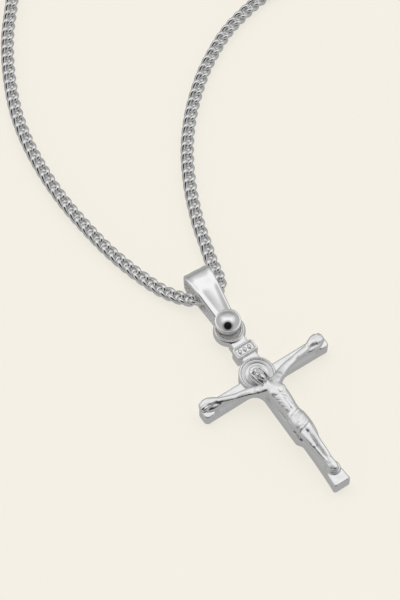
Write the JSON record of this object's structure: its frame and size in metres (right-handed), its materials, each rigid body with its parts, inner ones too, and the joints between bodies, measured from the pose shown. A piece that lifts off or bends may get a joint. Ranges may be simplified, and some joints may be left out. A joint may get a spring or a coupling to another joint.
{
  "type": "crucifix pendant on a chain",
  "caption": "Cast crucifix pendant with a figure, halo and blank plate, hung by a riveted strap bail on a curb chain with a clasp, laid out flat.",
  "frame": {"origin": "on the back of the cross, where the middle lines of the arms and the shaft cross", "axes": "+X along the arms, +Y up the shaft towards the bail, +Z out of the front of the cross"},
  "size_m": [0.1486, 0.1842, 0.0052],
  "materials": {
    "cast_silver": "polished cast silver, darker in the recesses",
    "polished_silver": "mirror-polished silver",
    "chain_silver": "polished silver wire"
  },
  "bodies": {
    "root": {"crucifix": "cast_silver", "bail": "polished_silver", "chain": "chain_silver", "end_ring_a": "chain_silver", "end_ring_b": "chain_silver", "clasp": "polished_silver"}
  },
  "joints": []
}
